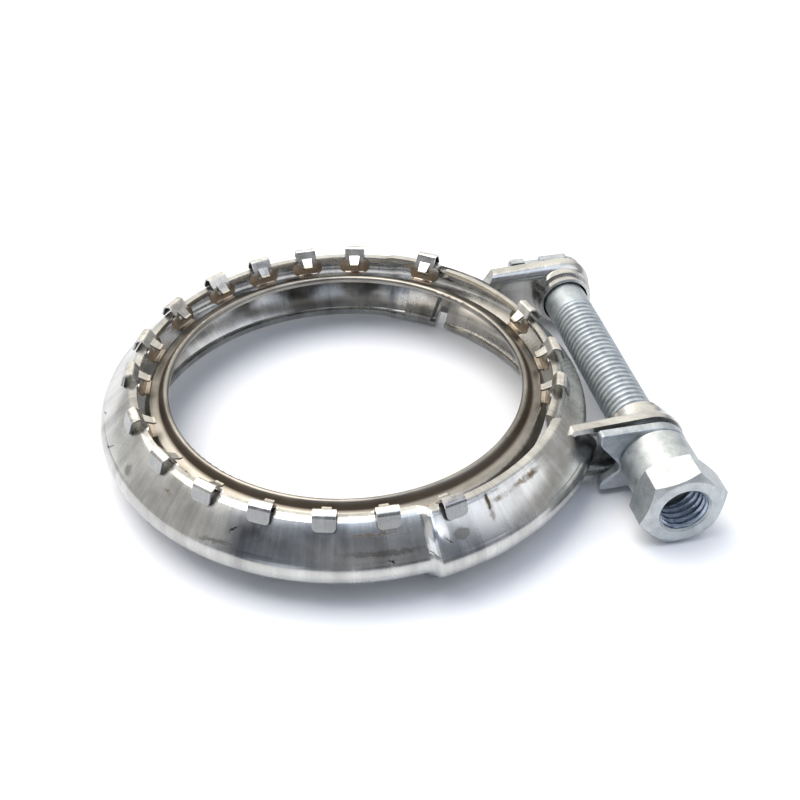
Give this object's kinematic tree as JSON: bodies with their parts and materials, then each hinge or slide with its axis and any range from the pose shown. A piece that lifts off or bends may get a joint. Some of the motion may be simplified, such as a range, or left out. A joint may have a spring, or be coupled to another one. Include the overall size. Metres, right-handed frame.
{
  "type": "exhaust strap clamp",
  "caption": "V-channel exhaust strap clamp with an integral formed gasket held by spring clips, a bridge across the gap and a tangential tightening bolt with a collar nut.",
  "frame": {"origin": "centre of the clamp, on the pipe axis and in the band's middle plane", "axes": "+Z along the pipe axis, towards the side with the gasket's rim and the clips; +X from the pipe axis to the middle of the bolt; the bolt lies along Y with its nut at -Y"},
  "size_m": [0.1413, 0.1258, 0.0233],
  "materials": {
    "band_steel": "brushed stainless sheet, lightly soiled",
    "gasket_steel": "satin rolled stainless sheet",
    "clip_steel": "bright satin spring steel",
    "zinc_steel": "matte zinc plate"
  },
  "bodies": {
    "clamp": {"clamp_band": "band_steel", "bridge_insert": "band_steel", "gasket_ring": "gasket_steel", "clip_01": "clip_steel", "clip_02": "clip_steel", "clip_03": "clip_steel", "clip_04": "clip_steel", "clip_05": "clip_steel", "clip_06": "clip_steel", "clip_07": "clip_steel", "clip_08": "clip_steel", "clip_09": "clip_steel", "clip_10": "clip_steel", "clip_11": "clip_steel", "clip_12": "clip_steel", "clip_13": "clip_steel", "clip_14": "clip_steel", "clip_15": "clip_steel", "clip_16": "clip_steel", "clip_17": "clip_steel", "clip_18": "clip_steel", "bolt": "zinc_steel", "back_saddle": "zinc_steel"},
    "saddle": {"front_saddle": "zinc_steel"},
    "nut": {"collar_nut": "zinc_steel"}
  },
  "joints": [
    {"name": "saddle_slide", "type": "slide", "parent": "clamp", "child": "saddle", "axis": [0, -1, 0], "range_m": [0, 0.00875]},
    {"name": "nut_spin", "type": "hinge", "parent": "saddle", "child": "nut", "pos_m": [0.0687, -0.045, 0], "axis": [0, -1, 0], "range_deg": [0, 1800]}
  ],
  "couplings": [
    {"joint": "saddle_slide", "follows": "nut_spin", "m_per_rad": 0.00027852}
  ]
}
